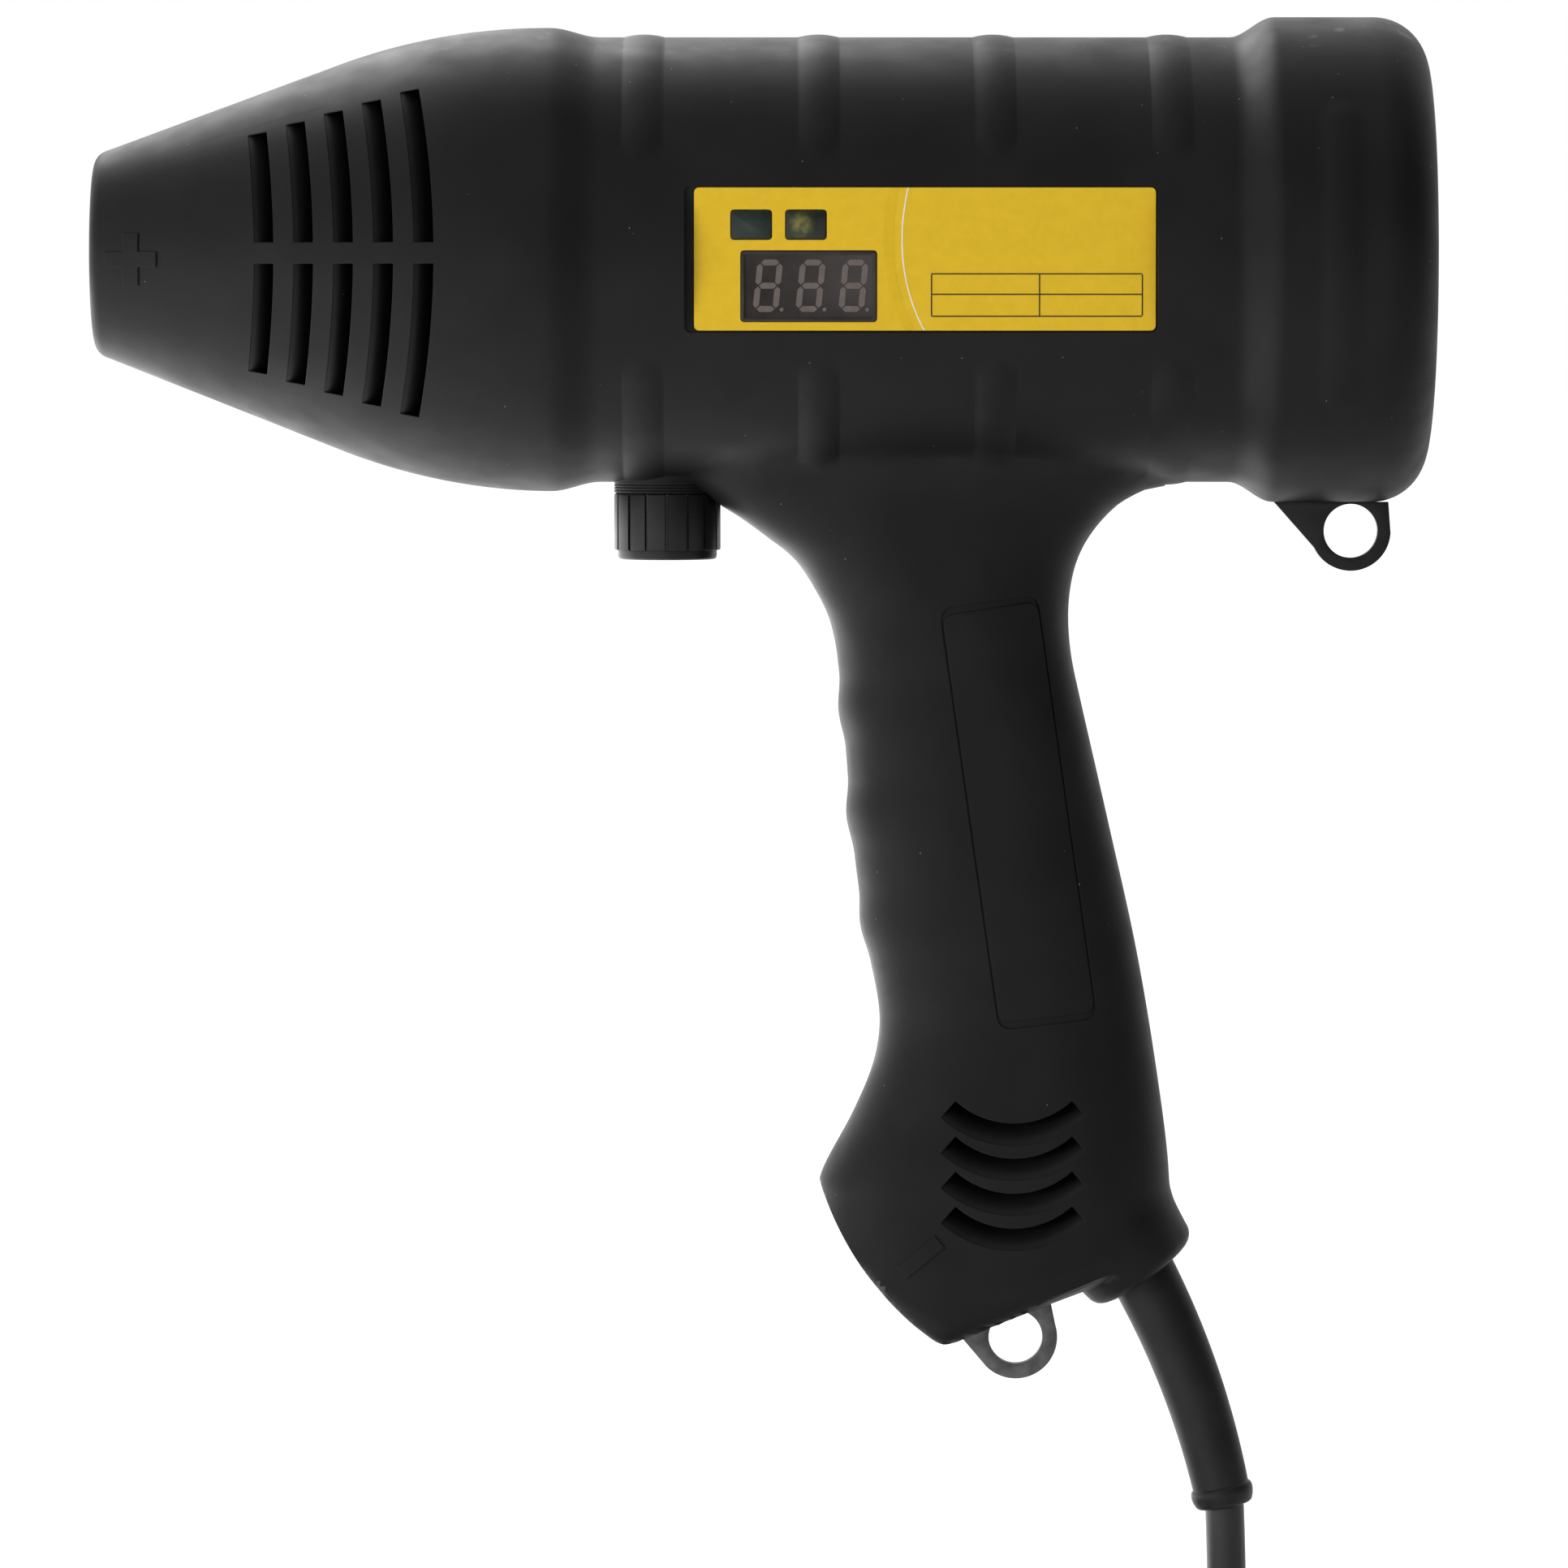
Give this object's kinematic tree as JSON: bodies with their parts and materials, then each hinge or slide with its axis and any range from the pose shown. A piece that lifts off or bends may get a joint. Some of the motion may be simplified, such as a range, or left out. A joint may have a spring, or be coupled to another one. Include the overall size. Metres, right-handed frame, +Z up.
{
  "type": "gun welder",
  "caption": "Pistol-shaped handheld inverter arc welder with a vented cone nose, side control label, current knob, fan grille, strap lugs and a coiled mains cord.",
  "frame": {"origin": "centre of the hand grip on the parting plane", "axes": "-X along the barrel to the nose, +Y to the right side, +Z up, grip hanging along -Z"},
  "size_m": [0.3114, 0.1287, 0.389],
  "materials": {
    "housing_black": "fine matte moulded",
    "grille_black": "moulded",
    "label_yellow": "printed satin film",
    "display_dark": "tinted smooth",
    "lens_green": "tinted smooth",
    "board_green": "solder mask",
    "zinc_steel": "zinc plated",
    "knob_black": "satin moulded",
    "pot_metal": "stamped",
    "socket_black": "moulded",
    "socket_brass": "turned",
    "lug_black": "black coat",
    "lug_steel": "dull stamped",
    "sleeve_black": "moulded",
    "cord_black": "extruded sheath",
    "tie_black": "strip",
    "plug_black": "moulded",
    "pin_nickel": "nickel plated",
    "fan_black": "moulded",
    "bearing_bronze": "sintered",
    "winding_copper": "enamelled wire",
    "sink_aluminium": "extruded",
    "package_black": "moulded epoxy",
    "can_dark": "sleeved can",
    "core_ferrite": "sintered",
    "bar_sleeve": "shrunk sleeve over copper",
    "lug_tin": "tinned",
    "lead_black": "insulated wire",
    "lead_brown": "insulated wire"
  },
  "bodies": {
    "housing": {"left_housing": "housing_black", "right_housing": "housing_black", "rear_grille": "grille_black", "control_label": "label_yellow", "display_module": "display_dark", "indicator_lenses": "lens_green", "display_board": "board_green", "display_screws": "zinc_steel", "potentiometer": "pot_metal", "potentiometer_nut": "zinc_steel", "front_socket_shell": "socket_black", "front_socket_insert": "socket_brass", "front_socket_nut": "socket_black", "ground_socket_shell": "socket_black", "ground_socket_insert": "socket_brass", "ground_socket_nut": "socket_black", "stud_nuts": "zinc_steel", "rear_strap_lug": "lug_black", "handle_strap_lug": "lug_steel", "strain_relief": "sleeve_black", "power_cord": "cord_black", "cord_coil": "cord_black", "cord_tail": "cord_black", "cord_tie": "tie_black", "plug_body": "plug_black", "plug_pins": "pin_nickel", "fan_frame": "fan_black", "fan_bearing": "bearing_bronze", "fan_stator": "winding_copper", "fan_screws": "zinc_steel", "main_board": "board_green", "board_screws": "zinc_steel", "transistor_heatsink": "sink_aluminium", "transistors": "package_black", "bridge_rectifier": "package_black", "bulk_capacitors": "can_dark", "transformer_core": "core_ferrite", "transformer_winding": "winding_copper", "choke_core": "core_ferrite", "choke_winding": "winding_copper", "diode_heatsink": "sink_aluminium", "output_diodes": "package_black", "output_busbar": "bar_sleeve", "ground_lug": "lug_tin", "ground_lead": "lead_black", "mains_leads": "lead_brown", "housing_screws": "zinc_steel"},
    "knob": {"current_knob": "knob_black", "knob_shaft": "pot_metal"},
    "fan": {"fan_rotor": "fan_black"}
  },
  "joints": [
    {"name": "knob_turn", "type": "hinge", "parent": "housing", "child": "knob", "pos_m": [-0.0671, 0, 0.0628], "axis": [0, 0, -1], "range_deg": [-140, 140]},
    {"name": "fan_spin", "type": "hinge", "parent": "housing", "child": "fan", "pos_m": [0.0753, 0, 0.1205], "axis": [1, 0, 0], "continuous": true}
  ]
}
